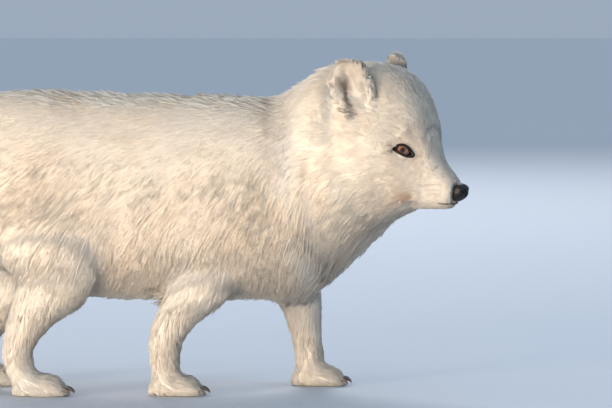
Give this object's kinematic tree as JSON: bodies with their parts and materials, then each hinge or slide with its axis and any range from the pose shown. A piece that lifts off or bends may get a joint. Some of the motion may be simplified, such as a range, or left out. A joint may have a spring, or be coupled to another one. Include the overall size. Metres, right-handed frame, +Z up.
{
  "type": "arctic fox",
  "caption": "Arctic fox in white winter coat, walking stance, head turned slightly aside, bushy tail hanging low; still, life-size figure.",
  "frame": {"origin": "the middle of the standing fox's length and width, at floor level", "axes": "+X forward along the body, +Y to the fox's left, +Z up"},
  "size_m": [0.7098, 0.174, 0.3109],
  "materials": {
    "coat": "thick cream-white winter fur",
    "nose_leather": "black, pebbled and a little moist",
    "eye": "orange-brown iris under a clear wet surface",
    "claw": "dark horn"
  },
  "bodies": {
    "root": {"chest": "coat", "claw_front_left_1": "claw", "claw_front_left_2": "claw", "claw_front_left_3": "claw", "claw_front_left_4": "claw", "claw_front_right_1": "claw", "claw_front_right_2": "claw", "claw_front_right_3": "claw", "claw_front_right_4": "claw", "claw_hind_left_1": "claw", "claw_hind_left_2": "claw", "claw_hind_left_3": "claw", "claw_hind_left_4": "claw", "claw_hind_right_1": "claw", "claw_hind_right_2": "claw", "claw_hind_right_3": "claw", "claw_hind_right_4": "claw", "ear_left": "coat", "ear_right": "coat", "eye_left": "eye", "eye_right": "eye", "head": "coat", "hindquarters": "coat", "leg_front_left_lower": "coat", "leg_front_left_upper": "coat", "leg_front_right_lower": "coat", "leg_front_right_upper": "coat", "leg_hind_left_lower": "coat", "leg_hind_left_upper": "coat", "leg_hind_right_lower": "coat", "leg_hind_right_upper": "coat", "loins": "coat", "lower_jaw": "coat", "muzzle": "coat", "neck": "coat", "nose": "nose_leather", "paw_front_left": "coat", "paw_front_right": "coat", "paw_hind_left": "coat", "paw_hind_right": "coat", "tail_base": "coat", "tail_middle": "coat", "tail_tip": "coat"}
  },
  "joints": []
}
